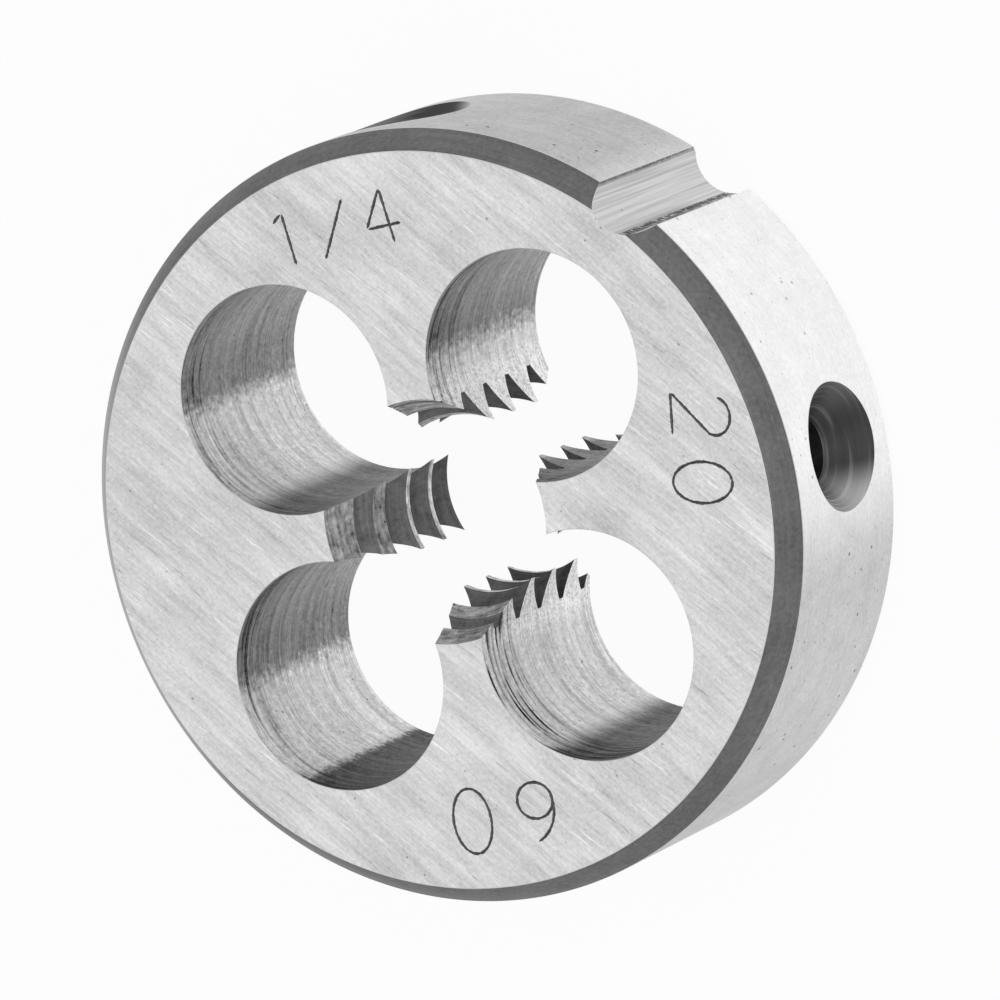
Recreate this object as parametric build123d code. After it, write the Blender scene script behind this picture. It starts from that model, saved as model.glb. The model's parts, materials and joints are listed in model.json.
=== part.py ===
from build123d import *

import os
from math import asin, ceil, cos, radians, tan

# A round threading die for a quarter inch screw with twenty turns to the inch.
# Lengths are millimetres and angles are degrees. The die lies flat: its back face is
# on the plane z = 0 with the origin at its centre, and +Z runs along the thread to the
# marked front face, where the work goes in.

# The blank
OUTSIDE_DIAMETER = 20.6375
THICKNESS = 6.35
FRONT_CHAMFER_INWARD = 0.51
FRONT_CHAMFER_DOWN = 0.70
BACK_CHAMFER = 0.16

# The thread that the die cuts, right-handed, and where its groove leaves the back face
MAJOR_DIAMETER = 6.35
PITCH = 1.27
THREAD_ANGLE = 60.0
CREST_FLAT = 0.20
ROOT_FLAT = 0.20
THREAD_START_ANGLE = 160.0

# The lead cone that starts the work at the front, and the relief cone at the back
LEAD_PAST_MAJOR = 0.085
LEAD_CONE_ANGLE = 40.0
RELIEF_SHORT_OF_MAJOR = 0.225
RELIEF_CONE_ANGLE = 60.0

# The chip holes, the wall that they leave at the rim and the lands that they leave inside
CHIP_HOLES = 4
FIRST_CHIP_HOLE_ANGLE = 45.0
RIM_WALL = 1.98
LAND_WIDTH = 2.14

# The adjusting groove across the rim, just past the middle of the first chip hole
GROOVE_PAST_HOLE = 1.5
GROOVE_RADIUS = 1.03
GROOVE_DEPTH = 0.68

# The two dimples for the stock's screws, one each side of the groove
DIMPLE_SPREAD = 46.0
DIMPLE_HEIGHT = 2.78
DIMPLE_DIAMETER = 3.70
DIMPLE_CONE_ANGLE = 90.0
PILOT_DIAMETER = 1.70
PILOT_DEPTH = 2.30
PILOT_POINT_ANGLE = 118.0

# How far a cutting tool runs past the metal that it cuts, and the thread's flanks past the bore
TOOL_CLEARANCE = 0.50
FLANK_OVERRUN = 0.05

# Sizes that follow from the ones above
FULL_TURN = 360.0
outside_radius = OUTSIDE_DIAMETER / 2
major_radius = MAJOR_DIAMETER / 2
flank_slope = tan(radians(THREAD_ANGLE / 2))
thread_depth = (PITCH - CREST_FLAT - ROOT_FLAT) / (2 * flank_slope)
minor_radius = major_radius - thread_depth
chip_hole_spacing = FULL_TURN / CHIP_HOLES
groove_angle = FIRST_CHIP_HOLE_ANGLE + GROOVE_PAST_HOLE


def blank():
    """Turn the disc with its minor bore, its lead and relief cones and its edge chamfers.

    The turned faces start and end at the angle of a chip hole, so no land has their seam.
    """
    lead_radius = major_radius + LEAD_PAST_MAJOR
    lead_depth = (lead_radius - minor_radius) / tan(radians(LEAD_CONE_ANGLE / 2))
    relief_radius = major_radius - RELIEF_SHORT_OF_MAJOR
    relief_depth = (relief_radius - minor_radius) / tan(radians(RELIEF_CONE_ANGLE / 2))
    section = Polyline(
        (relief_radius, 0),
        (outside_radius - BACK_CHAMFER, 0),
        (outside_radius, BACK_CHAMFER),
        (outside_radius, THICKNESS - FRONT_CHAMFER_DOWN),
        (outside_radius - FRONT_CHAMFER_INWARD, THICKNESS),
        (lead_radius, THICKNESS),
        (minor_radius, THICKNESS - lead_depth),
        (minor_radius, relief_depth),
        close=True,
    )
    turned = revolve(make_face(Plane.XZ * section), Axis.Z)
    return Rot(0, 0, FIRST_CHIP_HOLE_ANGLE) * turned


def thread_crossing():
    """Sweep the groove between two turns of teeth along its helix, from chip hole to chip hole."""
    root_half = ROOT_FLAT / 2
    inner_radius = minor_radius - FLANK_OVERRUN
    inner_half = root_half + (major_radius - inner_radius) * flank_slope
    section = Polyline(
        (major_radius, -root_half),
        (major_radius, root_half),
        (inner_radius, inner_half),
        (inner_radius, -inner_half),
        close=True,
    )
    path = Helix(pitch=PITCH, height=PITCH / CHIP_HOLES, radius=major_radius)
    return sweep(make_face(Plane.XZ * section), path=path, is_frenet=True)


def thread_grooves():
    """Place the groove's crossing on every land at every turn, past both faces of the die."""
    crossing = thread_crossing()
    crossings = []
    for land in range(CHIP_HOLES):
        start = FIRST_CHIP_HOLE_ANGLE + land * chip_hole_spacing
        climb = PITCH * (start - THREAD_START_ANGLE) / FULL_TURN
        lowest = climb % PITCH - PITCH
        turns = ceil((THICKNESS + PITCH - lowest) / PITCH)
        for turn in range(turns):
            height = lowest + turn * PITCH
            crossings.append(Pos(0, 0, height) * Rot(0, 0, start) * crossing)
    return crossings


def chip_holes():
    """Drill the ring of chip holes, from the edges of the lands out to the rim wall."""
    reach = outside_radius - RIM_WALL
    land_half_angle = asin(LAND_WIDTH / 2 / minor_radius)
    edge_reach = minor_radius * cos(radians(chip_hole_spacing / 2) - land_half_angle)
    # The hole touches the rim wall and passes through the edges of the lands beside it
    edge_distance_squared = reach**2 + minor_radius**2 - 2 * reach * edge_reach
    radius = edge_distance_squared / (2 * (reach - edge_reach))
    drill = Pos(0, 0, THICKNESS / 2) * Cylinder(radius, THICKNESS + 2 * TOOL_CLEARANCE)
    ring = PolarLocations(reach - radius, CHIP_HOLES, start_angle=FIRST_CHIP_HOLE_ANGLE)
    return [place * drill for place in ring]


def adjusting_groove():
    """Mill the round-bottomed groove along the rim, from face to face."""
    centre = outside_radius - GROOVE_DEPTH + GROOVE_RADIUS
    cutter = Cylinder(GROOVE_RADIUS, THICKNESS + 2 * TOOL_CLEARANCE)
    return Rot(0, 0, groove_angle) * Pos(centre, 0, THICKNESS / 2) * cutter


def dimple(angle):
    """Countersink one conical dimple into the rim, with the pilot hole at its bottom."""
    pilot_radius = PILOT_DIAMETER / 2
    mouth_radius = DIMPLE_DIAMETER / 2
    cone_slope = tan(radians(DIMPLE_CONE_ANGLE / 2))
    cone_depth = (mouth_radius - pilot_radius) / cone_slope
    point_depth = PILOT_DEPTH + pilot_radius / tan(radians(PILOT_POINT_ANGLE / 2))
    section = Polyline(
        (outside_radius + TOOL_CLEARANCE, 0),
        (outside_radius + TOOL_CLEARANCE, mouth_radius + TOOL_CLEARANCE * cone_slope),
        (outside_radius - cone_depth, pilot_radius),
        (outside_radius - PILOT_DEPTH, pilot_radius),
        (outside_radius - point_depth, 0),
        close=True,
    )
    countersink = revolve(make_face(section), Axis.X)
    return Rot(0, 0, angle) * Pos(0, 0, DIMPLE_HEIGHT) * countersink


def threading_die():
    """Make the whole die from its blank, in the order of the shop."""
    body = blank() - chip_holes()
    body = body - thread_grooves()
    body = body - adjusting_groove()
    for side in (-1, 1):
        body = body - dimple(groove_angle + side * DIMPLE_SPREAD)
    body.label = "threading_die"
    return body


die = threading_die()
os.makedirs("parts", exist_ok=True)
export_step(die, "parts/threading_die.step")
print("volume", round(die.volume, 2), "solids", len(die.solids()), "valid", die.is_valid)
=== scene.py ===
"""The looks of a round threading die: a fine mesh of the cut blank, and a finish for each kind of surface.

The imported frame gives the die's box and the places of its groove and dimples. The die lies on its back
face, so +Z is the axis of the thread and the marked front face looks up. Sizes in the classes are
millimetres, and the finished mesh is in metres.
"""

import json
import logging
import math
from dataclasses import dataclass
from enum import Enum
from typing import Any, Mapping, Sequence

import bpy
import numpy as np
from mathutils import Matrix, Vector

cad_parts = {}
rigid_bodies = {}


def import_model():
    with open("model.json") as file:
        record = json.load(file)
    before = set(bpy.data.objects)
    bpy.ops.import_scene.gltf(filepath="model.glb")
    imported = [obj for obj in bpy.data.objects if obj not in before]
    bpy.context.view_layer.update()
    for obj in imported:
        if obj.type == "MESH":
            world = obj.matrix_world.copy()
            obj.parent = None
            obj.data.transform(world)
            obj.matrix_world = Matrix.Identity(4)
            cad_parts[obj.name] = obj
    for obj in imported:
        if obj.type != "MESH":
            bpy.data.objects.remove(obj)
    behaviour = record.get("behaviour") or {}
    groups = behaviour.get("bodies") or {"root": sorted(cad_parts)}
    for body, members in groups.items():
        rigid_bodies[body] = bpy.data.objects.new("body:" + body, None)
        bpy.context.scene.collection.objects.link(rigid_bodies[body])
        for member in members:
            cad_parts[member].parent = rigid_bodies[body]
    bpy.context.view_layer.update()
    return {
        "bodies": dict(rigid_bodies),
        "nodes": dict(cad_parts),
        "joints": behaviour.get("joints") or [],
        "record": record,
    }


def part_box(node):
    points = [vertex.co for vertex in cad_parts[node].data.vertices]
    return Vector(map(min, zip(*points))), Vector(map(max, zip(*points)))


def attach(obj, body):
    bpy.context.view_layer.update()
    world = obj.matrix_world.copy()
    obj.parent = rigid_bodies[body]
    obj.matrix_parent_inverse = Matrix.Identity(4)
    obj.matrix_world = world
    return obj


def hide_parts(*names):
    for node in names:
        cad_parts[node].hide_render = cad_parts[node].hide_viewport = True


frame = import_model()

LOG = logging.getLogger("threading_die")
MM = 0.001
NODE = "threading_die"
BODY = "root"
PIECE = "round_threading_die"
SHARP_ANGLE = 24.0


class Num:
    """A number that nodes work out: each operator adds one Math node to the graph that it belongs to."""

    def __init__(self, graph: "Graph", socket: bpy.types.NodeSocket) -> None:
        """Wraps one output socket of the graph."""
        self.graph = graph
        self.socket = socket

    def _math(self, operation: str, *operands: "Num | float") -> "Num":
        """Adds a Math node.

        Args:
            operation: The node's operation, as Blender names it.
            operands: The values or links of its inputs, in order.

        Returns:
            The node's result.
        """
        node = self.graph.add("ShaderNodeMath", {"operation": operation}, dict(enumerate(operands)))
        return Num(self.graph, node.outputs[0])

    def __add__(self, other: "Num | float") -> "Num":
        """Self plus other."""
        return self._math("ADD", self, other)

    def __radd__(self, other: float) -> "Num":
        """Other plus self."""
        return self._math("ADD", other, self)

    def __sub__(self, other: "Num | float") -> "Num":
        """Self minus other."""
        return self._math("SUBTRACT", self, other)

    def __rsub__(self, other: float) -> "Num":
        """Other minus self."""
        return self._math("SUBTRACT", other, self)

    def __mul__(self, other: "Num | float") -> "Num":
        """Self times other."""
        return self._math("MULTIPLY", self, other)

    def __rmul__(self, other: float) -> "Num":
        """Other times self."""
        return self._math("MULTIPLY", other, self)

    def __truediv__(self, other: "Num | float") -> "Num":
        """Self over other."""
        return self._math("DIVIDE", self, other)

    def __abs__(self) -> "Num":
        """Self without its sign."""
        return self._math("ABSOLUTE", self)

    def root(self) -> "Num":
        """The square root of self."""
        return self._math("SQRT", self)

    def sign(self) -> "Num":
        """One or minus one, as the sign of self."""
        return self._math("SIGN", self)

    def least(self, other: "Num | float") -> "Num":
        """The smaller of self and other."""
        return self._math("MINIMUM", self, other)

    def step(self, low: float, high: float) -> "Num":
        """A smooth step from 0 at low to 1 at high, or from 1 to 0 where low is the larger.

        Args:
            low: The value of self at which the step is 0.
            high: The value of self at which the step is 1.

        Returns:
            The step, from 0 to 1.
        """
        ends = {"Value": self, "From Min": low, "From Max": high}
        node = self.graph.add("ShaderNodeMapRange", {"interpolation_type": "SMOOTHSTEP"}, ends)
        return Num(self.graph, node.outputs["Result"])


class Graph:
    """The node tree of one material or world, in which one method adds every node."""

    def __init__(self, tree: bpy.types.NodeTree) -> None:
        """Empties the tree and keeps it."""
        tree.nodes.clear()
        self.tree = tree

    def add(
        self,
        kind: str,
        settings: Mapping[str, Any] | None = None,
        sockets: Mapping[str | int, Any] | None = None,
    ) -> bpy.types.Node:
        """Adds one node.

        Args:
            kind: The node's type.
            settings: What is set on the node itself, before its sockets.
            sockets: The value or the link of each input, by its name or number.

        Returns:
            The node.
        """
        node = self.tree.nodes.new(kind)
        for name, value in (settings or {}).items():
            setattr(node, name, value)
        for name, value in (sockets or {}).items():
            link = value.socket if isinstance(value, Num) else value
            if isinstance(link, bpy.types.NodeSocket):
                self.tree.links.new(link, node.inputs[name])
            else:
                node.inputs[name].default_value = link
        return node

    def vector(self, x: "Num | float", y: "Num | float", z: "Num | float") -> bpy.types.NodeSocket:
        """Joins three numbers to a vector."""
        return self.add("ShaderNodeCombineXYZ", sockets={"X": x, "Y": y, "Z": z}).outputs["Vector"]

    def noise(self, vector: bpy.types.NodeSocket, detail: float = 1.0, rough: float = 0.5) -> Num:
        """Reads soft noise at a vector whose unit is one cell of the noise.

        Args:
            vector: Where the noise is read.
            detail: How many finer layers lie on the first.
            rough: How strong each finer layer is.

        Returns:
            The noise, about 0.5 in the middle.
        """
        sockets = {"Vector": vector, "Scale": 1.0, "Detail": detail, "Roughness": rough}
        return Num(self, self.add("ShaderNodeTexNoise", sockets=sockets).outputs[0])

    def seen(self) -> Num:
        """One to the camera, in reflections and through clear parts, and zero to light on matt surfaces."""
        rays = self.add("ShaderNodeLightPath").outputs
        total = Num(self, rays["Is Camera Ray"]) + Num(self, rays["Is Glossy Ray"])
        return (total + Num(self, rays["Is Transmission Ray"])).least(1.0)

    def grey(self, dark: float, light: float, share: "Num") -> bpy.types.NodeSocket:
        """Mixes two greys by a share, as a colour."""
        settings = {"data_type": "RGBA", "clamp_factor": False}
        ends = {6: (dark, dark, dark, 1), 7: (light, light, light, 1)}
        return self.add("ShaderNodeMix", settings, {0: share, **ends}).outputs[2]


@dataclass
class Place:
    """Where a point of the die lies in millimetres, from Object coordinates."""

    graph: Graph
    x: Num
    y: Num
    z: Num

    @classmethod
    def of(cls, graph: Graph) -> "Place":
        """Reads the place in a graph."""
        coordinates = graph.add("ShaderNodeTexCoord").outputs["Object"]
        scale = {0: coordinates, "Scale": 1 / MM}
        lengths = graph.add("ShaderNodeVectorMath", {"operation": "SCALE"}, scale)
        split = graph.add("ShaderNodeSeparateXYZ", sockets={"Vector": lengths.outputs["Vector"]})
        return cls(graph, *(Num(graph, split.outputs[axis]) for axis in "XYZ"))

    def radius(self) -> Num:
        """The distance from the axis of the thread."""
        return (self.x * self.x + self.y * self.y).root()

    def vector(self, scale: float = 1.0, seed: float = 0.0) -> bpy.types.NodeSocket:
        """The place itself as a vector, scaled, with a seed added to each side."""
        return self.graph.vector(self.x * scale + seed, self.y * scale + seed, self.z * scale + seed)

    def specks(self, spacing: float, size: float, share: float, seed: float) -> Num:
        """Scatters round specks: a share of the cells of a Voronoi texture holds a speck at its centre.

        Args:
            spacing: The mean distance between cells, in millimetres.
            size: The radius of a speck, in millimetres.
            share: The share of the cells that hold one.
            seed: Sets these specks apart from others.

        Returns:
            One in a speck and zero between them.
        """
        sockets = {"Vector": self.vector(1 / spacing, seed), "Scale": 1.0}
        cells = self.graph.add("ShaderNodeTexVoronoi", sockets=sockets)
        chance = self.graph.add("ShaderNodeSeparateColor", sockets={"Color": cells.outputs["Color"]})
        inside = Num(self.graph, cells.outputs["Distance"]).step(size / spacing, 0.4 * size / spacing)
        chosen = Num(self.graph, chance.outputs[0]).step(1 - share - 0.01, 1 - share + 0.01)
        return inside * chosen


@dataclass
class Look:
    """What a finish gives its shader: a share between its dark and light greys, roughness and height."""

    share: Num
    roughness: Num
    height: Num


@dataclass(frozen=True)
class SteelFinish:
    """One way in which the tool steel is finished. Greys are linear, and heights are millimetres."""

    name: str
    dark: float
    light: float
    roughness: float
    metallic: float = 1.0

    def look(self, place: Place) -> Look:
        """Works out the finish at a place."""
        raise NotImplementedError

    def material(self) -> bpy.types.Material:
        """Makes the finish's material."""
        made = bpy.data.materials.new(self.name)
        made.use_nodes = True
        graph = Graph(made.node_tree)
        look = self.look(Place.of(graph))
        bump = graph.add("ShaderNodeBump", sockets={"Strength": 1.0, "Distance": MM, "Height": look.height})
        sockets = {
            "Base Color": graph.grey(self.dark, self.light, look.share),
            "Metallic": self.metallic,
            "Roughness": look.roughness,
            "Normal": bump.outputs["Normal"],
        }
        shader = graph.add("ShaderNodeBsdfPrincipled", sockets=sockets)
        graph.add("ShaderNodeOutputMaterial", sockets={"Surface": shader.outputs[0]})
        return made


@dataclass(frozen=True)
class GroundFinish(SteelFinish):
    """A face ground flat: sets of fine straight scratches that cross at small angles, dashes and pits."""

    directions: tuple[float, ...] = (-43.0, -49.0, -57.0, -66.0)
    fine_width: float = 0.055
    fine_length: float = 1.9
    scratch_depth: float = 0.0016

    def scratches(self, place: Place, angle: float, width: float, length: float, seed: float) -> Num:
        """Reads noise that is drawn out along one direction.

        Args:
            place: The point of the face.
            angle: The direction of the scratches in degrees from +X.
            width: Their mean distance, in millimetres.
            length: Their mean length, in millimetres.
            seed: Sets this set of scratches apart from others.

        Returns:
            The noise, about 0.5 in the middle.
        """
        cosine = math.cos(math.radians(angle))
        sine = math.sin(math.radians(angle))
        along = place.x * (cosine / length) + place.y * (sine / length)
        across = place.y * (cosine / width) - place.x * (sine / width)
        return place.graph.noise(place.graph.vector(along + seed, across, place.z + seed), 2.0, 0.6)

    def look(self, place: Place) -> Look:
        """Adds the sets of scratches, broad bands of the wheel, bright and dark dashes, grain and pits."""
        graph = place.graph
        sets = [
            self.scratches(place, angle, self.fine_width, self.fine_length, 11.0 * number)
            for number, angle in enumerate(self.directions)
        ]
        fine = (sets[0] + sets[1] * 0.8 + sets[2] * 0.6 + sets[3] * 0.4) / 2.8
        broad = self.scratches(place, self.directions[1], 0.32, 2.6, 71.0)
        dashes = self.scratches(place, self.directions[0], 0.060, 1.3, 37.0)
        strays = self.scratches(place, self.directions[2], 0.055, 0.8, 93.0)
        grain = graph.noise(place.vector(9.0, 61.0), 3.0, 0.7)
        cloud = graph.noise(place.vector(0.45, 5.0), 3.0)
        pits = place.specks(0.55, 0.050, 0.34, 3.0) * 0.9
        pits = pits + place.specks(0.22, 0.028, 0.38, 13.0) * 0.6
        bright = dashes.step(0.64, 0.74) + strays.step(0.67, 0.77) * 0.8
        dull = dashes.step(0.35, 0.25) + strays.step(0.33, 0.23) * 0.7
        share = 0.5 + (fine - 0.5) * 2.0 + (broad - 0.5) * 1.3 + (grain - 0.5) * 1.3 + (cloud - 0.5)
        share = share + bright * 0.75 - dull * 0.7 - pits * 1.1
        roughness = self.roughness + (fine - 0.5) * 0.16 + pits * 0.2
        height = fine * self.scratch_depth + bright * 0.0006 - dull * 0.0008 - pits * 0.004
        return Look(share, roughness, height)


@dataclass(frozen=True)
class RimFinish(SteelFinish):
    """The smooth rim: almost plain, with a painted highlight on one side and painted shade far along Y, faint
    rings, grain and small dark specks.
    """

    # The direction in X and Y of the side with the painted highlight.
    painted_light_side: tuple[float, float] = (0.94, 0.34)

    def look(self, place: Place) -> Look:
        """Adds a painted highlight on one side, painted shade far along Y, rings, a cloud, grain and two
        sizes of specks.
        """
        graph = place.graph
        rings = graph.noise(graph.vector(place.x * 0.3, place.y * 0.3, place.z / 0.07), 2.0)
        cloud = graph.noise(place.vector(1.1, 9.0), 4.0, 0.6)
        specks = place.specks(0.50, 0.065, 0.45, 21.0) + place.specks(0.28, 0.040, 0.40, 47.0) * 0.7
        grain = graph.noise(place.vector(8.5, 15.0), 3.0, 0.7)
        # Painted light: towards and bright paint the rim much lighter on one side, standing in for a lit
        # reflection; the step in abs(y) paints it dark far along Y, standing in for shade.
        towards = (place.x * self.painted_light_side[0] + place.y * self.painted_light_side[1]) / place.radius()
        bright = towards.step(0.78, 0.95)
        share = 0.31 + bright * 0.59 - abs(place.y).step(6.0, 9.5) * 0.17
        share = share + (rings - 0.5) * 0.25 + (cloud - 0.5) * 0.35 + (grain - 0.5) * 0.60 - specks * 0.8
        height = rings * 0.0005 + grain * 0.0006 - specks * 0.002
        return Look(share, self.roughness + (rings - 0.5) * 0.08, height)


@dataclass(frozen=True)
class TurnedFinish(SteelFinish):
    """The chamfers: turned smooth and dark, with rings round the axis, a few bright nicks and dark specks."""

    ring_spacing: float = 0.06
    ring_depth: float = 0.0007

    def look(self, place: Place) -> Look:
        """Adds rings, a cloud, grain, nicks, specks and a painted highlight on the front chamfer towards -X.
        """
        graph = place.graph
        across = (place.radius() - place.z) / self.ring_spacing
        rings = graph.noise(graph.vector(across, place.x * 0.25, place.y * 0.25), 2.0)
        cloud = graph.noise(place.vector(0.8, 31.0), 3.0)
        nicks = place.specks(0.8, 0.05, 0.10, 63.0)
        specks = place.specks(0.45, 0.04, 0.12, 81.0)
        # Painted highlight: pale lightens the front chamfer towards -X, standing in for a brighter reflection
        # there.
        front = place.z.step(5.0, 5.6)
        pale = place.x.step(-7.0, -10.0) * front
        grain = graph.noise(place.vector(8.0, 33.0), 3.0, 0.7)
        share = 0.45 + (rings - 0.5) * 0.9 + (cloud - 0.5) * 1.2 + (grain - 0.5) * 1.8
        share = share + nicks * 1.8 - specks * 0.8 + pale * 2.6
        return Look(share, self.roughness + (cloud - 0.5) * 0.1, rings * self.ring_depth)


@dataclass(frozen=True)
class DrilledFinish(SteelFinish):
    """A drilled wall: rings round the hole, torn more towards its mouth, pits, and painted shade on two sides
    of each hole, either side of its painted lit side.
    """

    centre: float = 3.72
    hole_radius: float = 2.6
    mouth: float = 6.35
    # The direction in degrees of each hole's painted lit side, with painted shade on both sides of it.
    painted_light_side: float = 209.0
    ring_spacing: float = 0.085
    ring_depth: float = 0.012
    torn_reach: float = 2.4

    def look(self, place: Place) -> Look:
        """Reads rings along the hole's axis, with the four holes folded on one and a seed for each.

        The distance aside of the painted lit side's direction, over the hole's radius, places the painted
        shade on both sides of it.
        The hole towards +X and -Y has the strongest torn rings and the faintest painted shade where aside is
        negative.
        """
        graph = place.graph
        side_x = place.x.sign()
        side_y = place.y.sign()
        around_x = (abs(place.x) - self.centre) * 0.34 + side_x * 7.0
        around_y = (abs(place.y) - self.centre) * 0.34 + side_y * 13.0
        fine = graph.noise(graph.vector(around_x, around_y, place.z / self.ring_spacing), 2.0, 0.6)
        broad = graph.noise(graph.vector(around_x * 0.7, around_y * 0.7, place.z / 0.33), 1.0)
        mottle = graph.noise(place.vector(5.5, 17.0), 3.0, 0.6)
        grain = graph.noise(place.vector(12.0, 45.0), 2.0, 0.7)
        torn = mottle.step(0.60, 0.72)
        burr = place.radius().step(4.0, 3.3) * grain.step(0.30, 0.55)
        pits = place.specks(0.30, 0.045, 0.20, 91.0)
        cosine = math.cos(math.radians(self.painted_light_side)) / self.hole_radius
        sine = math.sin(math.radians(self.painted_light_side)) / self.hole_radius
        aside = (place.y - side_y * self.centre) * cosine - (place.x - side_x * self.centre) * sine
        aside = aside + (mottle - 0.5) * 0.22
        right = side_x.step(-1.0, 1.0)
        low = side_y.step(1.0, -1.0)
        low_right = right * low
        # Painted shade: the two steps of aside below and their sum paint each wall dark on both sides of its
        # painted lit side, standing in for the shade in the hole.
        upper_painted_shade = (aside + right * 0.16).step(-0.38, -0.58) * (0.62 - low_right * 0.50)
        low_left = low - low_right
        lower_painted_shade = aside.step(low_left * 0.06 + 0.38, 0.64 - low_left * 0.10)
        lower_painted_shade = lower_painted_shade * (0.76 + low_left * 0.12 + low_right * 0.08)
        painted_shade = upper_painted_shade + lower_painted_shade - aside.step(-0.72, -0.95) * 0.10
        near = place.z.step(self.mouth - self.torn_reach, self.mouth)
        torn_rings = graph.noise(graph.vector(around_x, around_y, place.z / 0.17), 1.0).step(0.52, 0.66)
        torn_rings = torn_rings * near * (0.65 + right * 0.35 + low_right * 1.2)
        blots = graph.noise(place.vector(1.9, 23.0), 3.0, 0.6).step(0.52, 0.70) * near
        uneven = (fine - 0.5) * 1.1 + (broad - 0.5) * 0.6 + (mottle - 0.5) * 0.8 + (grain - 0.5) * 0.7
        uneven = uneven - pits * 0.7 + torn * 0.1 - torn_rings * 0.9 - blots * 0.35
        share = 0.92 - painted_shade + (uneven + burr * 0.30) * (1.0 - painted_shade * 0.75)
        height = fine * self.ring_depth + broad * 0.004 + grain * 0.002
        height = height - torn * 0.0015 - pits * 0.004 - torn_rings * 0.01
        return Look(share, self.roughness + (fine - 0.5) * 0.2, height)


@dataclass(frozen=True)
class FlankFinish(SteelFinish):
    """The flanks and roots of the teeth, and the pilot holes: smooth and dark, with faint lines."""

    line_spacing: float = 0.05

    def look(self, place: Place) -> Look:
        """Adds lines by the radius, a soft cloud and grain."""
        graph = place.graph
        across = place.radius() / self.line_spacing
        lines = graph.noise(graph.vector(across, place.x * 0.4, place.y * 0.4), 1.0)
        cloud = graph.noise(place.vector(2.2, 53.0), 3.0)
        grain = graph.noise(place.vector(9.0, 57.0), 2.0, 0.6)
        share = 0.5 + (lines - 0.5) + (cloud - 0.5) * 1.6 + (grain - 0.5)
        return Look(share, self.roughness + (cloud - 0.5) * 0.12, lines * 0.0006)


@dataclass(frozen=True)
class MottledFinish(SteelFinish):
    """The lead cone and the crests, ground in place: short torn strokes round the axis, light and dark."""

    def look(self, place: Place) -> Look:
        """Adds short strokes round the axis, mottling and pits."""
        graph = place.graph
        strokes = graph.noise(graph.vector(place.x * 1.2, place.y * 1.2, place.z / 0.11), 2.0, 0.6)
        mottle = graph.noise(place.vector(4.5, 77.0), 3.0, 0.65)
        pits = place.specks(0.28, 0.05, 0.22, 5.0)
        share = 0.56 + (strokes - 0.5) * 1.6 + (mottle - 0.5) * 2.0 - pits * 0.6
        height = strokes * 0.003 + mottle * 0.002 - pits * 0.003
        return Look(share, self.roughness + (mottle - 0.5) * 0.2, height)


@dataclass(frozen=True)
class MilledFinish(SteelFinish):
    """The adjusting groove: fine straight lines from face to face, pits, and painted shade along each side,
    broken by torn patches.
    """

    angle: float = 0.0
    half_width: float = 0.97

    def look(self, place: Place) -> Look:
        """Adds lines along Z, broad bands, pits and the painted shade at both sides, placed by its distance
        aside.
        """
        graph = place.graph
        lines = graph.noise(graph.vector(place.x / 0.06, place.y / 0.06, place.z * 0.22), 2.0)
        bands = graph.noise(graph.vector(place.x / 0.3, place.y / 0.3, place.z * 0.15), 1.0)
        pits = place.specks(0.5, 0.055, 0.16, 41.0)
        side = (place.y * math.cos(self.angle) - place.x * math.sin(self.angle)) / self.half_width
        side = side + (bands - 0.5) * 0.10
        torn = graph.noise(place.vector(7.0, 67.0), 3.0, 0.6).step(0.34, 0.52)
        # Painted shade: one wall carries a band broken into torn patches and the other side a line under the
        # edge, standing in for the steep wall's shade and a burr's shadow.
        lower_painted_shade = side.step(-0.36, -0.46) * side.step(-0.74, -0.60)
        upper_painted_shade = side.step(0.90, 0.96) * (0.5 + torn * 0.5)
        share = 0.5 + (lines - 0.5) * 1.2 + (bands - 0.5) * 0.8 - pits * 1.2
        share = share - lower_painted_shade * torn * 1.3 - upper_painted_shade * 0.8
        return Look(share, self.roughness + (lines - 0.5) * 0.12, lines * 0.0014 - pits * 0.003)


@dataclass(frozen=True)
class SunkFinish(SteelFinish):
    """A countersunk dimple: rings round its own axis, which is the nearer of two axes, and a painted
    reflection on two sides.
    """

    axes: tuple[tuple[float, float], ...] = ()
    height: float = 2.78
    ring_spacing: float = 0.13

    def look(self, place: Place) -> Look:
        """Adds rings by the distance from the nearer axis, a painted reflection on two sides and a soft
        cloud.
        """
        graph = place.graph
        rise = place.z - self.height
        distances = []
        light = 0.0
        for cosine, sine in self.axes:
            side = place.y * cosine - place.x * sine
            distance = (side * side + rise * rise).root()
            # Painted reflection: sides and light lighten each dimple on two sides of its axis, one much more,
            # standing in for the lit floor that the cone reflects.
            sides = side.step(-0.55, -1.55) * 0.66 + side.step(0.5, 1.7) * 0.14
            light = light + sides * distance.step(2.3, 2.0)
            distances.append(distance)
        distance = distances[0]
        for other in distances[1:]:
            distance = distance.least(other)
        rings = graph.noise(graph.vector(distance / self.ring_spacing, place.x * 0.3, place.y * 0.3), 2.0)
        cloud = graph.noise(place.vector(1.5, 65.0), 3.0)
        bright = rings.step(0.54, 0.66)
        share = 0.02 + (rings - 0.5) * 0.05 + bright * 0.11 + (cloud - 0.5) * 0.04
        share = share + light * (0.8 + rings * 0.4)
        return Look(share, self.roughness + (rings - 0.5) * 0.08, rings * 0.0009)


@dataclass(frozen=True)
class PlainFinish(SteelFinish):
    """A narrow surface, such as a broken edge or a stroke of a mark, with only a fine uneven tone."""

    unevenness: float = 0.8
    depth: float = 0.001

    def look(self, place: Place) -> Look:
        """Adds one fine noise to the tone and the height."""
        cloud = place.graph.noise(place.vector(7.0, 19.0), 3.0, 0.6)
        share = 0.5 + (cloud - 0.5) * self.unevenness
        return Look(share, self.roughness + (cloud - 0.5) * 0.2, cloud * self.depth)


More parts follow.
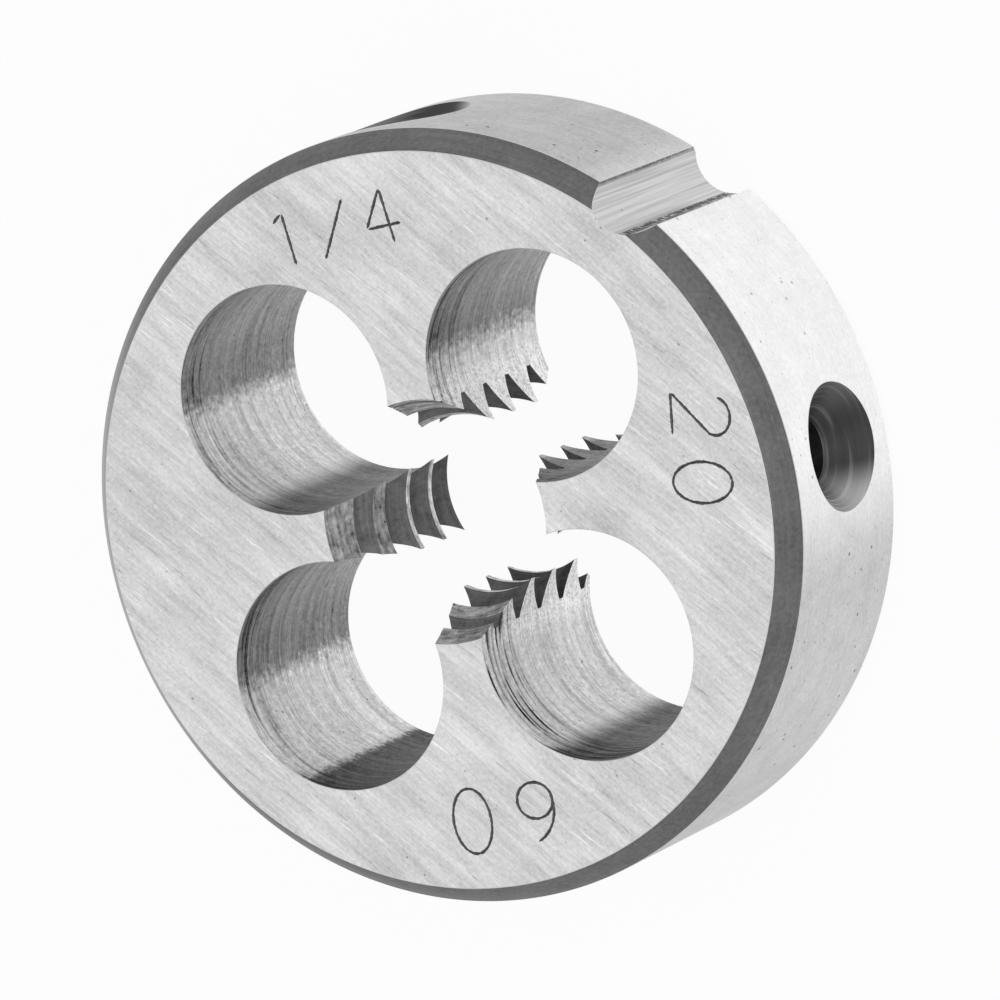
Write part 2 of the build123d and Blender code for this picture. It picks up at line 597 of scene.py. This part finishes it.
class Region(Enum):
    """The differently finished surfaces of the die. The order is that of the material slots."""

    FACE = 0
    RIM = 1
    CHAMFER = 2
    BORE = 3
    FLANK = 4
    HOLE = 5
    EDGE = 6
    GROOVE = 7
    DIMPLE = 8
    MARK = 9


@dataclass
class Solid:
    """A closed mesh in millimetres: its points, its faces as point numbers, and the region of each face."""

    points: np.ndarray
    faces: list[list[int]]
    regions: np.ndarray

    def volume(self) -> float:
        """The signed volume: the sum over all faces of the triple product of their fans, over six."""
        total = 0.0
        quads = np.array([face for face in self.faces if len(face) == 4])
        for corners in ((0, 1, 2), (0, 2, 3)):
            first, second, third = (self.points[quads[:, corner]] for corner in corners)
            total += float(np.einsum("ij,ij->i", first, np.cross(second, third)).sum())
        for face in (face for face in self.faces if len(face) != 4):
            fan = self.points[face]
            total += float((np.cross(fan[1:-1], fan[2:]) @ fan[0]).sum())
        return total / 6

    def object(self, name: str, materials: Sequence[bpy.types.Material]) -> bpy.types.Object:
        """Makes the Blender object, with its faces turned outwards.

        Args:
            name: The object's name.
            materials: The materials of all regions, in order.

        Returns:
            The object, linked to the scene, at the origin.
        """
        turn = -1 if self.volume() < 0 else 1
        mesh = bpy.data.meshes.new(name)
        mesh.from_pydata((self.points * MM).tolist(), [], [face[::turn] for face in self.faces])
        for material in materials:
            mesh.materials.append(material)
        mesh.polygons.foreach_set("material_index", self.regions.astype(np.int32))
        mesh.update()
        made = bpy.data.objects.new(name, mesh)
        bpy.context.scene.collection.objects.link(made)
        return made


def skin(rings: np.ndarray, regions: Sequence[Region], closed: bool = False) -> Solid:
    """Covers a row of rings: face (i, j) joins points j and j + 1 of rings i and i + 1.

    Args:
        rings: The points as an array of rings, points in a ring and three coordinates. Each ring is closed.
        regions: The region of each face, one for each point of a ring or one for all.
        closed: Whether the last ring joins the first. If not, one flat face closes each end.

    Returns:
        The closed solid.
    """
    count, around = rings.shape[:2]
    spans = count if closed else count - 1
    i, j = np.meshgrid(np.arange(spans), np.arange(around), indexing="ij")
    after_i = (i + 1) % count
    after_j = (j + 1) % around
    near, far = i * around, after_i * around
    quads = np.stack([near + j, far + j, far + after_j, near + after_j], -1)
    faces = quads.reshape(-1, 4).tolist()
    values = np.array([region.value for region in regions])
    marks = np.tile(values, (spans, around // len(values))).ravel()
    if not closed:
        faces.append(list(range(around)))
        faces.append(list(range((count - 1) * around, count * around))[::-1])
        marks = np.append(marks, [values[0], values[0]])
    return Solid(rings.reshape(-1, 3), faces, marks)


def turned(profile: np.ndarray, steps: int) -> np.ndarray:
    """Turns a profile of radii and heights round the Z axis: point (i, j) is (r_j cos a_i, r_j sin a_i, z_j).

    Args:
        profile: The profile's points, each a radius and a height.
        steps: The number of rings, spread evenly over the full turn.

    Returns:
        The rings, each of them the profile at one angle.
    """
    angle = np.linspace(0, 2 * np.pi, steps, endpoint=False)[:, None]
    radius, height = profile[None, :, 0], profile[None, :, 1]
    return np.stack([radius * np.cos(angle), radius * np.sin(angle), height + 0 * angle], -1)


def stacked(profile: np.ndarray, steps: int) -> np.ndarray:
    """Stacks circles along Z: the same points as in turned, with one ring for each point of the profile."""
    return turned(profile, steps).transpose(1, 0, 2)


def moved(points: np.ndarray, turn: Matrix) -> np.ndarray:
    """Carries points by a 4 by 4 matrix: the rotation times the point, plus the shift."""
    matrix = np.array(turn)
    return points @ matrix[:3, :3].T + matrix[:3, 3]


@dataclass
class Blank:
    """The turned disc, with its bore, its cones, its chamfers and its front edges broken by a hair."""

    outside_radius: float
    thickness: float
    minor_radius: float
    major_radius: float
    front_chamfer_inward: float = 0.51
    front_chamfer_down: float = 0.70
    back_chamfer: float = 0.16
    lead_past_major: float = 0.085
    lead_half_angle: float = 20.0
    relief_short_of_major: float = 0.225
    relief_half_angle: float = 30.0
    edge: float = 0.014
    steps: int = 576

    def profile(self) -> tuple[np.ndarray, list[Region]]:
        """The outline from the back of the bore by the rim to its front, and each stretch's region."""
        lead_radius = self.major_radius + self.lead_past_major
        relief_radius = self.major_radius - self.relief_short_of_major
        lead_depth = (lead_radius - self.minor_radius) / math.tan(math.radians(self.lead_half_angle))
        relief_depth = (relief_radius - self.minor_radius) / math.tan(math.radians(self.relief_half_angle))
        outer, top, hair = self.outside_radius, self.thickness, self.edge
        slope = self.front_chamfer_down / self.front_chamfer_inward
        rows = [
            (relief_radius, 0.0, Region.FACE),
            (outer - self.back_chamfer, 0.0, Region.CHAMFER),
            (outer, self.back_chamfer, Region.RIM),
            (outer, top - self.front_chamfer_down - hair, Region.EDGE),
            (outer - hair / slope, top - self.front_chamfer_down + hair, Region.CHAMFER),
            (outer - self.front_chamfer_inward + hair / slope, top - hair, Region.EDGE),
            (outer - self.front_chamfer_inward - hair, top, Region.FACE),
            (lead_radius, top, Region.BORE),
            (self.minor_radius, top - lead_depth, Region.BORE),
            (self.minor_radius, relief_depth, Region.BORE),
        ]
        return np.array([row[:2] for row in rows]), [row[2] for row in rows]

    def solid(self) -> Solid:
        """Turns the profile to the blank."""
        points, regions = self.profile()
        return skin(turned(points, self.steps), regions, closed=True)


@dataclass
class Thread:
    """The groove between two turns of teeth, carried along its right-handed helix past both faces."""

    minor_radius: float
    major_radius: float
    thickness: float
    pitch: float
    half_angle: float = 30.0
    root_flat: float = 0.20
    start_angle: float = 160.0
    overrun: float = 0.05
    inside: float = 0.4
    steps_per_turn: int = 144

    def solid(self) -> Solid:
        """Carries the section: point (i, j) is (r_j cos a_i, r_j sin a_i, z_j + pitch a_i / 2 pi)."""
        slope = math.tan(math.radians(self.half_angle))
        inner = self.minor_radius - self.overrun
        root = self.root_flat / 2
        mouth = root + (self.major_radius - inner) * slope
        section = np.array(
            [(self.major_radius, -root), (self.major_radius, root), (inner, mouth)]
            + [(inner - self.inside, mouth), (inner - self.inside, -mouth), (inner, -mouth)]
        )
        turns = self.thickness / self.pitch + 2
        angle = np.linspace(0, 2 * np.pi * turns, int(turns * self.steps_per_turn))[:, None]
        lift = self.pitch * (angle / (2 * np.pi) - 1)
        round_axis = angle + math.radians(self.start_angle)
        radius, height = section[None, :, 0], section[None, :, 1] + lift
        rings = np.stack([radius * np.cos(round_axis), radius * np.sin(round_axis), height], -1)
        return skin(rings, [Region.FLANK])


@dataclass
class ChipHoles:
    """The ring of drilled holes, each with hair-fine broken edges and the drill's rings near its mouth."""

    outside_radius: float
    minor_radius: float
    thickness: float
    count: int = 4
    first_angle: float = 45.0
    rim_wall: float = 1.98
    land_width: float = 2.14
    edge: float = 0.014
    past: float = 0.2
    steps: int = 192
    ring_depth: float = 0.016
    ring_strengths: tuple[float, ...] = (0.8, 0.6, 0.7, 1.4)
    ring_fade: float = 1.5
    rings: int = 9

    def sizes(self) -> tuple[float, float]:
        """The radius of a hole and of the circle of their centres.

        A hole touches the rim wall and passes through the edges of the lands beside it.
        """
        reach = self.outside_radius - self.rim_wall
        land_half_angle = math.asin(self.land_width / 2 / self.minor_radius)
        edge_reach = self.minor_radius * math.cos(math.pi / self.count - land_half_angle)
        squared = reach**2 + self.minor_radius**2 - 2 * reach * edge_reach
        radius = squared / (2 * (reach - edge_reach))
        return radius, reach - radius

    def profile(self, number: int) -> tuple[np.ndarray, list[Region]]:
        """The wall's radii and heights from back to front, and each stretch's region.

        The drill's rings are hollows whose depth fades with the distance from the mouth: the depth times
        the exponential of minus the distance over the fade, at uneven steps that a seeded draw gives.
        """
        radius = self.sizes()[0]
        draw = np.random.default_rng(40 + number)
        depths = np.cumsum(draw.uniform(0.22, 0.42, self.rings))
        strength = self.ring_strengths[number] * self.ring_depth * np.exp(-depths / self.ring_fade)
        rows = [(radius + self.edge + self.past, -self.past, Region.EDGE), (radius, self.edge, Region.HOLE)]
        for depth, hollow in zip(depths[::-1], strength[::-1]):
            height = self.thickness - depth
            hollows = ((radius, height - 0.05), (radius + hollow, height), (radius, height + 0.04))
            rows += [(*place, Region.HOLE) for place in hollows]
        rows += [(radius, self.thickness - self.edge, Region.EDGE)]
        rows += [(radius + self.edge + self.past, self.thickness + self.past, Region.EDGE)]
        return np.array([row[:2] for row in rows]), [row[2] for row in rows]

    def solids(self) -> list[Solid]:
        """The cutter of each hole."""
        centre = self.sizes()[1]
        made = []
        for number in range(self.count):
            angle = math.radians(self.first_angle + number * 360 / self.count)
            points, regions = self.profile(number)
            rings = stacked(points, self.steps) + (centre * math.cos(angle), centre * math.sin(angle), 0)
            solid = skin(rings, [Region.HOLE])
            per_ring = np.repeat([region.value for region in regions[:-1]], self.steps)
            solid.regions[: len(per_ring)] = per_ring
            made.append(solid)
        return made


@dataclass
class AdjustingGroove:
    """The round-bottomed groove across the rim, from face to face."""

    outside_radius: float
    thickness: float
    radius: float
    angle: float
    depth: float = 0.68
    past: float = 0.5
    steps: int = 256

    def solid(self) -> Solid:
        """A cylinder along Z whose surface reaches the groove's depth into the rim."""
        centre = self.outside_radius - self.depth + self.radius
        heights = np.array([(self.radius, -self.past), (self.radius, self.thickness + self.past)])
        shift = (centre * math.cos(self.angle), centre * math.sin(self.angle), 0)
        return skin(stacked(heights, self.steps) + shift, [Region.GROOVE])


@dataclass
class ScrewDimple:
    """One countersunk dimple in the rim, with small steps in its cone, and its pilot hole."""

    outside_radius: float
    angle: float
    height: float
    mouth_radius: float
    pilot_radius: float = 0.85
    pilot_depth: float = 2.30
    cone_half_angle: float = 45.0
    point_half_angle: float = 59.0
    past: float = 0.5
    edge: float = 0.012
    steps: int = 160

    def profile(self) -> np.ndarray:
        """Radii and distances from the die's axis, from outside the rim to the drill's point."""
        slope = math.tan(math.radians(self.cone_half_angle))
        cone_depth = (self.mouth_radius - self.pilot_radius) / slope
        outer = self.outside_radius
        rows = [(self.mouth_radius + self.past * slope, outer + self.past)]
        for share in np.arange(0.12, 0.97, 0.12):
            depth = cone_depth * share
            radius = self.mouth_radius - depth * slope
            rows += [(radius, outer - depth), (radius - 0.012, outer - depth - 0.003)]
        rows += [(self.pilot_radius + self.edge, outer - cone_depth + self.edge / 2)]
        rows += [(self.pilot_radius, outer - cone_depth - self.edge)]
        rows += [(self.pilot_radius, outer - self.pilot_depth)]
        point = outer - self.pilot_depth - self.pilot_radius / math.tan(math.radians(self.point_half_angle))
        rows += [(0.001, point)]
        return np.array(rows)

    def solid(self) -> Solid:
        """Stacks the profile's circles along the dimple's axis; the last ones are the dull pilot hole."""
        turn = Matrix.Rotation(self.angle, 4, "Z") @ Matrix.Rotation(math.pi / 2, 4, "Y")
        lift = Matrix.Translation((0, 0, self.height))
        made = skin(moved(stacked(self.profile(), self.steps), lift @ turn), [Region.DIMPLE])
        pilot = np.arange(len(made.regions)) >= (len(self.profile()) - 3) * self.steps
        made.regions[pilot] = Region.FLANK.value
        return made


def line(*points: tuple[float, float]) -> np.ndarray:
    """A path of straight strokes through points."""
    return np.array(points, float)


def arc(centre: tuple[float, float], radii: tuple[float, float], first: float, last: float) -> np.ndarray:
    """A path along an ellipse: centre plus (rx cos a, ry sin a) for angles from first to last, in degrees."""
    angle = np.radians(np.linspace(first, last, max(8, int(abs(last - first) / 8))))
    return np.array(centre) + np.stack([radii[0] * np.cos(angle), radii[1] * np.sin(angle)], 1)


class Glyph(Enum):
    """The plain figures of the marks."""

    ONE = "1"
    STROKE = "/"
    FOUR = "4"
    TWO = "2"
    NOUGHT = "0"
    SIX = "6"


STROKES = {
    Glyph.ONE: (line((0.0, 1.0), (0.0, 0.0)), line((-0.25, 0.84), (0.0, 1.0))),
    Glyph.STROKE: (line((0.0, 0.0), (0.0, 1.0)),),
    Glyph.FOUR: (
        line((0.0, 1.0), (-0.46, 0.36)),
        line((-0.46, 0.36), (0.25, 0.32)),
        line((0.0, 1.0), (0.0, 0.0)),
    ),
    Glyph.TWO: (
        np.concatenate([arc((0.02, 0.74), (0.30, 0.26), 172, -25), line((-0.02, 0.32), (-0.34, 0.0))]),
        line((-0.35, 0.0), (0.34, 0.0)),
    ),
    Glyph.NOUGHT: (arc((0.01, 0.5), (0.32, 0.5), 90, 280), arc((0.01, 0.5), (0.32, 0.5), 260, 462)),
    Glyph.SIX: (
        arc((0.30, 0.36), (0.62, 0.64), 105, 185),
        arc((0.0, 0.30), (0.32, 0.30), 150, 350),
        arc((0.0, 0.30), (0.32, 0.30), 330, 530),
    ),
}


@dataclass(frozen=True)
class Mark:
    """One figure on the front face: where its foot stands, its height and its turn in degrees."""

    glyph: Glyph
    foot: tuple[float, float]
    height: float
    turn: float


@dataclass
class SizeMarks:
    """The engraved figures: V-shaped grooves along their strokes, whose width wavers a little."""

    thickness: float
    width: float = 0.080
    depth: float = 0.04
    above: float = 0.03
    marks: tuple[Mark, ...] = (
        Mark(Glyph.ONE, (-2.53, 7.17), 1.44, 6.4),
        Mark(Glyph.STROKE, (-1.65, 7.21), 1.76, -28.0),
        Mark(Glyph.FOUR, (0.49, 7.39), 1.50, 7.1),
        Mark(Glyph.TWO, (7.47, 1.98), 1.67, -98.4),
        Mark(Glyph.NOUGHT, (7.14, 0.22), 1.70, -96.4),
        Mark(Glyph.SIX, (1.27, -7.13), 1.62, 184.0),
        Mark(Glyph.NOUGHT, (-0.59, -7.10), 1.75, 178.0),
    )

    def strokes(self) -> list[np.ndarray]:
        """Places each figure's strokes on the face and divides them into short even steps."""
        placed = []
        for mark in self.marks:
            cosine, sine = math.cos(math.radians(mark.turn)), math.sin(math.radians(mark.turn))
            turn = np.array([[cosine, sine], [-sine, cosine]])
            for path in STROKES[mark.glyph]:
                points = path @ turn * mark.height + mark.foot
                length = np.concatenate([[0], np.cumsum(np.hypot(*np.diff(points, axis=0).T))])
                at = np.linspace(0, length[-1], max(6, int(length[-1] / 0.05)))
                placed.append(np.stack([np.interp(at, length, points[:, k]) for k in (0, 1)], 1))
        return placed

    def solids(self) -> list[Solid]:
        """The cutter of each stroke: at each step a triangle across the path, smaller at both ends."""
        made = []
        for number, path in enumerate(self.strokes()):
            along = np.gradient(path, axis=0)
            along /= np.linalg.norm(along, axis=1, keepdims=True)
            side = np.stack([-along[:, 1], along[:, 0]], 1)
            steps = np.arange(len(path))
            waver = 1 + 0.08 * np.sin(steps * 0.55 + number) + 0.06 * np.sin(steps * 2.1 + 2 * number)
            shake = 0.003 * np.sin(steps * 1.3 + 3 * number) + 0.003 * np.sin(steps * 2.7 + number)
            path = path + side * shake[:, None]
            ends = np.clip(np.minimum(steps, steps[::-1]) / 1.5, 0.15, 1)
            size = (waver * ends)[:, None]
            half = self.width / 2 * (1 + self.above / self.depth)
            top = np.full((len(path), 1), self.thickness + self.above)
            low = top - (self.depth + self.above) * size
            left = np.hstack([path + side * half * size, top])
            right = np.hstack([path - side * half * size, top])
            made.append(skin(np.stack([left, right, np.hstack([path, low])], 1), [Region.MARK]))
        return made


@dataclass
class ThreadingDie:
    """The whole die: the blank, what each tool cuts from it, and the finish that each cut leaves."""

    outside_radius: float
    thickness: float
    major_radius: float
    groove_radius: float
    groove_angle: float
    dimple_angles: tuple[float, ...]
    dimple_height: float
    dimple_radius: float
    pitch: float = 1.27
    crest_flat: float = 0.20
    root_flat: float = 0.20
    flank_half_angle: float = 30.0

    @classmethod
    def from_frame(cls, packed: Mapping[str, Any]) -> "ThreadingDie":
        """Takes the die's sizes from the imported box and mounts.

        Args:
            packed: What the frame's load call returned.

        Returns:
            The die, not built yet.
        """
        low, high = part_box(NODE)
        mounts = {mount["name"]: mount for mount in packed["record"]["mounts"]}
        angles = {name: math.atan2(mount["axis"][1], mount["axis"][0]) for name, mount in mounts.items()}
        return cls(
            outside_radius=mounts["rim"]["dims"]["r_mm"],
            thickness=(high.z - low.z) / MM,
            major_radius=mounts["cutting_thread"]["dims"]["r_mm"],
            groove_radius=mounts["adjusting_groove"]["dims"]["r_mm"],
            groove_angle=angles["adjusting_groove"],
            dimple_angles=(angles["right_dimple"], angles["top_dimple"]),
            dimple_height=mounts["right_dimple"]["pos_m"][2] / MM,
            dimple_radius=mounts["right_dimple"]["dims"]["r_mm"],
        )

    @property
    def minor_radius(self) -> float:
        """The radius of the crests: the major radius less the depth that the flats leave of the pitch."""
        slope = math.tan(math.radians(self.flank_half_angle))
        return self.major_radius - (self.pitch - self.crest_flat - self.root_flat) / (2 * slope)

    def finishes(self) -> dict[Region, SteelFinish]:
        """The finish of each region."""
        axes = tuple((math.cos(angle), math.sin(angle)) for angle in self.dimple_angles)
        hole_radius, circle = self.holes().sizes()
        centre = circle * math.cos(math.radians(self.holes().first_angle))
        return {
            Region.FACE: GroundFinish("ground_face", 0.50, 0.78, 0.34),
            Region.RIM: RimFinish("ground_rim", 0.41, 0.95, 0.45),
            Region.CHAMFER: TurnedFinish("turned_chamfer", 0.11, 0.185, 0.50),
            Region.BORE: MottledFinish("ground_lead", 0.16, 0.84, 0.50),
            Region.FLANK: FlankFinish("cut_flank", 0.07, 0.18, 0.50),
            Region.HOLE: DrilledFinish(
                "drilled_wall", 0.05, 0.73, 0.50, centre=centre, hole_radius=hole_radius, mouth=self.thickness
            ),
            Region.EDGE: PlainFinish("broken_edge", 0.45, 0.75, 0.60),
            Region.GROOVE: MilledFinish("milled_groove", 0.36, 0.82, 0.40, angle=self.groove_angle),
            Region.DIMPLE: SunkFinish("sunk_dimple", 0.04, 0.60, 0.45, axes=axes, height=self.dimple_height),
            Region.MARK: PlainFinish("engraved_mark", 0.08, 0.24, 0.70),
        }

    def holes(self) -> ChipHoles:
        """The chip holes of this die."""
        return ChipHoles(self.outside_radius, self.minor_radius, self.thickness)

    def cuts(self) -> dict[str, Solid]:
        """Every cutter by name, in the order in which they cut."""
        radii = (self.minor_radius, self.major_radius)
        thread = Thread(*radii, self.thickness, self.pitch, self.flank_half_angle, self.root_flat)
        groove = AdjustingGroove(self.outside_radius, self.thickness, self.groove_radius, self.groove_angle)
        made = {f"mark_{k}": solid for k, solid in enumerate(SizeMarks(self.thickness).solids())}
        made["thread"] = thread.solid()
        made |= {f"chip_hole_{k}": solid for k, solid in enumerate(self.holes().solids())}
        made["adjusting_groove"] = groove.solid()
        for k, angle in enumerate(self.dimple_angles):
            dimple = ScrewDimple(self.outside_radius, angle, self.dimple_height, self.dimple_radius)
            made[f"dimple_{k}"] = dimple.solid()
        return made

    def build(self) -> bpy.types.Object:
        """Cuts the blank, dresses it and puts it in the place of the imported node.

        Returns:
            The finished piece.
        """
        materials = [finish.material() for finish in self.finishes().values()]
        blank = Blank(self.outside_radius, self.thickness, self.minor_radius, self.major_radius)
        rough = blank.solid().object("die_blank", materials)
        cutters = []
        for name, solid in self.cuts().items():
            cutter = solid.object(name, materials)
            modifier = rough.modifiers.new(name, "BOOLEAN")
            modifier.operation = "DIFFERENCE"
            modifier.solver = "MANIFOLD"
            modifier.material_mode = "INDEX"
            modifier.object = cutter
            cutters.append(cutter)
        evaluated = rough.evaluated_get(bpy.context.evaluated_depsgraph_get())
        mesh = bpy.data.meshes.new_from_object(evaluated)
        for spare in [rough, *cutters]:
            bpy.data.objects.remove(spare)
        mesh.name = PIECE
        mesh.polygons.foreach_set("use_smooth", np.ones(len(mesh.polygons), bool))
        mesh.set_sharp_from_angle(angle=math.radians(SHARP_ANGLE))
        piece = bpy.data.objects.new(PIECE, mesh)
        bpy.context.scene.collection.objects.link(piece)
        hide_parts(NODE)
        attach(piece, BODY)
        LOG.info("%s: %d faces, minor radius %.3f mm", piece.name, len(mesh.polygons), self.minor_radius)
        return piece


@dataclass
class Softbox:
    """One area light, placed by where it stands round the die and aimed at its middle."""

    name: str
    azimuth: float
    elevation: float
    distance: float
    size: float
    brightness: float

    def build(self) -> bpy.types.Object:
        """Makes the light: it stands at (cos a cos e, sin a cos e, sin e) times the distance.

        Its power is pi times its area times its brightness, so a brightness of 1 looks white in a mirror.
        """
        lamp = bpy.data.lights.new(self.name, "AREA")
        lamp.shape = "SQUARE"
        lamp.size = self.size
        lamp.energy = math.pi * self.size**2 * self.brightness
        azimuth, height = math.radians(self.azimuth), math.radians(self.elevation)
        flat = math.cos(height)
        towards = Vector((math.cos(azimuth) * flat, math.sin(azimuth) * flat, math.sin(height)))
        made = bpy.data.objects.new(self.name, lamp)
        made.location = towards * self.distance
        made.rotation_euler = towards.to_track_quat("Z", "Y").to_euler()
        bpy.context.scene.collection.objects.link(made)
        return made


@dataclass
class Studio:
    """A plain pale floor, a soft surround, one weak softbox and the camera at the photograph's angle."""

    floor_half: float = 1.5
    floor_tone: float = 0.80
    floor_gap: float = 0.00002
    seen_white: float = 0.95
    surround: float = 0.70
    azimuth: float = 103.78
    elevation: float = 60.42
    roll: float = -113.33
    aim: tuple[float, float, float] = (2.045, 0.352, 6.35)
    distance: float = 265.16
    focal_pixels: float = 10205.7
    picture_pixels: float = 1000.0
    softboxes: tuple[Softbox, ...] = (
        Softbox("camera_softbox", 18.0, 48.0, 0.32, 0.30, 0.5),
    )

    def floor(self) -> bpy.types.Object:
        """Makes the floor, which shows almost white and keeps a faint part of the die's shadow."""
        half = self.floor_half
        corners = [(-half, -half), (half, -half), (half, half), (-half, half)]
        mesh = bpy.data.meshes.new("floor")
        mesh.from_pydata([(x, y, -self.floor_gap) for x, y in corners], [], [(0, 1, 2, 3)])
        material = bpy.data.materials.new("pale_floor")
        material.use_nodes = True
        graph = Graph(material.node_tree)
        tone = (self.floor_tone,) * 3 + (1.0,)
        matt = graph.add("ShaderNodeBsdfDiffuse", sockets={"Color": tone})
        white = graph.add("ShaderNodeEmission", sockets={"Color": (1, 1, 1, 1), "Strength": 1.0})
        sockets = {0: graph.seen() * self.seen_white, 1: matt.outputs[0], 2: white.outputs[0]}
        mix = graph.add("ShaderNodeMixShader", sockets=sockets)
        graph.add("ShaderNodeOutputMaterial", sockets={"Surface": mix.outputs[0]})
        material.cycles.emission_sampling = "NONE"
        mesh.materials.append(material)
        made = bpy.data.objects.new("floor", mesh)
        bpy.context.scene.collection.objects.link(made)
        return made

    def world(self) -> None:
        """Makes the surround: white to the camera and in the steel, and a soft light on matt surfaces."""
        world = bpy.data.worlds.new("studio")
        world.use_nodes = True
        graph = Graph(world.node_tree)
        soft = graph.add("ShaderNodeBackground", sockets={"Color": (1, 1, 1, 1), "Strength": self.surround})
        white = graph.add("ShaderNodeBackground", sockets={"Color": (1, 1, 1, 1), "Strength": 1.0})
        sockets = {0: graph.seen(), 1: soft.outputs[0], 2: white.outputs[0]}
        mix = graph.add("ShaderNodeMixShader", sockets=sockets)
        graph.add("ShaderNodeOutputWorld", sockets={"Surface": mix.outputs[0]})
        world.cycles.sampling_method = "NONE"
        bpy.context.scene.world = world

    def camera(self) -> bpy.types.Object:
        """Makes the camera: it looks at the aim from its azimuth, counted from -Y, turned by its roll."""
        azimuth, height, roll = map(math.radians, (self.azimuth, self.elevation, self.roll))
        flat = math.cos(height)
        back = Vector((math.sin(azimuth) * flat, -math.cos(azimuth) * flat, math.sin(height)))
        level = Vector((0, 0, 1)).cross(back).normalized()
        rise = back.cross(level)
        right = level * math.cos(roll) + rise * math.sin(roll)
        up = back.cross(right)
        lens = bpy.data.cameras.new("camera")
        lens.lens = self.focal_pixels / self.picture_pixels * lens.sensor_width
        lens.clip_start = 0.01
        lens.clip_end = 10.0
        made = bpy.data.objects.new("camera", lens)
        place = (Vector(self.aim) + back * self.distance) * MM
        made.matrix_world = Matrix.Translation(place) @ Matrix((right, up, back)).transposed().to_4x4()
        bpy.context.scene.collection.objects.link(made)
        bpy.context.scene.camera = made
        return made

    def build(self) -> None:
        """Makes the whole studio."""
        self.floor()
        self.world()
        for softbox in self.softboxes:
            softbox.build()
        self.camera()
        bpy.context.scene.view_settings.view_transform = "Standard"
        LOG.info("studio: floor, surround, camera and %d softbox", len(self.softboxes))


def main() -> None:
    """Builds the die and its studio, and reports each piece."""
    logging.basicConfig(level=logging.INFO, format="%(name)s: %(message)s")
    ThreadingDie.from_frame(frame).build()
    Studio().build()


if __name__ == "__main__":
    main()
